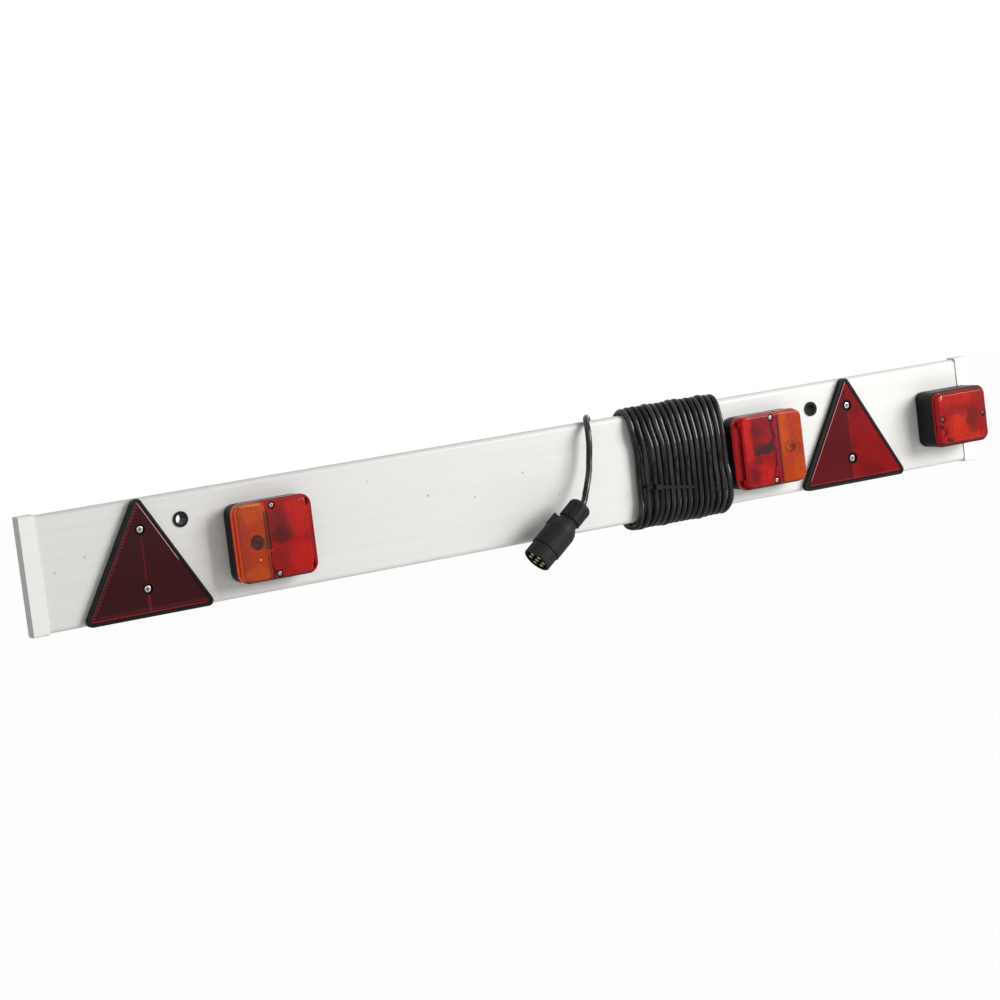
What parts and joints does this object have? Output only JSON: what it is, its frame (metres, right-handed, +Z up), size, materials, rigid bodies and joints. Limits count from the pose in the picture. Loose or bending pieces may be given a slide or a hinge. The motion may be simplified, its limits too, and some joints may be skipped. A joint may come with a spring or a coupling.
{
  "type": "trailer lighting board",
  "caption": "Hollow white trailer lighting board with triangular reflectors, combination rear lamps, a fog lamp and a wound supply cable ending in a round plug.",
  "frame": {"origin": "middle of the line between the two mounting holes, on the back face of the plank", "axes": "+X along the plank to the right as seen by someone behind the trailer, -Y out of the lamps, +Z up"},
  "size_m": [1.37, 0.107, 0.1802],
  "materials": {
    "white_plastic": "white PVC, satin",
    "black_plastic": "black ABS, fine grain",
    "reflector_red": "red prismatic acrylic",
    "screw_chrome": "bright zinc",
    "black_rubber": "black rubber",
    "carrier_bright": "bright sheet",
    "holder_metal": "plated sheet",
    "bulb_amber": "amber lacquered glass",
    "bulb_clear": "clear glass",
    "lens_amber": "amber acrylic",
    "lens_red": "red acrylic",
    "cable_sheath": "black PVC sheath, satin",
    "plug_plastic": "dark grey plastic",
    "pin_brass": "brass"
  },
  "bodies": {
    "root": {"board": "white_plastic", "end_cap_left": "white_plastic", "end_cap_right": "white_plastic", "hole_liner_left": "black_plastic", "hole_liner_right": "black_plastic", "reflector_tray_left": "black_plastic", "reflector_tray_right": "black_plastic", "reflector_lens_left": "reflector_red", "reflector_lens_right": "reflector_red", "reflector_screws": "screw_chrome", "reflector_washers": "screw_chrome", "reflector_nuts": "screw_chrome", "lamp_gasket_left": "black_rubber", "lamp_base_left": "black_plastic", "carrier_plate_left": "carrier_bright", "indicator_holder_left": "holder_metal", "indicator_bulb_left": "bulb_amber", "stop_holder_left": "holder_metal", "stop_bulb_left": "bulb_clear", "amber_lens_left": "lens_amber", "red_lens_left": "lens_red", "lens_screws_left": "screw_chrome", "lamp_gasket_right": "black_rubber", "lamp_base_right": "black_plastic", "carrier_plate_right": "carrier_bright", "indicator_holder_right": "holder_metal", "indicator_bulb_right": "bulb_amber", "stop_holder_right": "holder_metal", "stop_bulb_right": "bulb_clear", "amber_lens_right": "lens_amber", "red_lens_right": "lens_red", "lens_screws_right": "screw_chrome", "fog_foam": "black_rubber", "fog_base": "black_plastic", "fog_carrier_plate": "carrier_bright", "fog_holder": "holder_metal", "fog_bulb": "bulb_clear", "fog_lens": "lens_red", "fog_lens_screws": "screw_chrome", "fixing_bolts": "screw_chrome", "fixing_washers": "screw_chrome", "fixing_nuts": "screw_chrome", "cable_grommet": "black_rubber", "cable_lead": "cable_sheath", "cable_winding": "cable_sheath", "cable_tail": "cable_sheath", "cable_tie": "black_plastic", "plug_shell": "plug_plastic", "plug_insert": "plug_plastic", "plug_pins": "pin_brass", "plug_seal": "black_rubber", "plug_nut": "plug_plastic"}
  },
  "joints": []
}
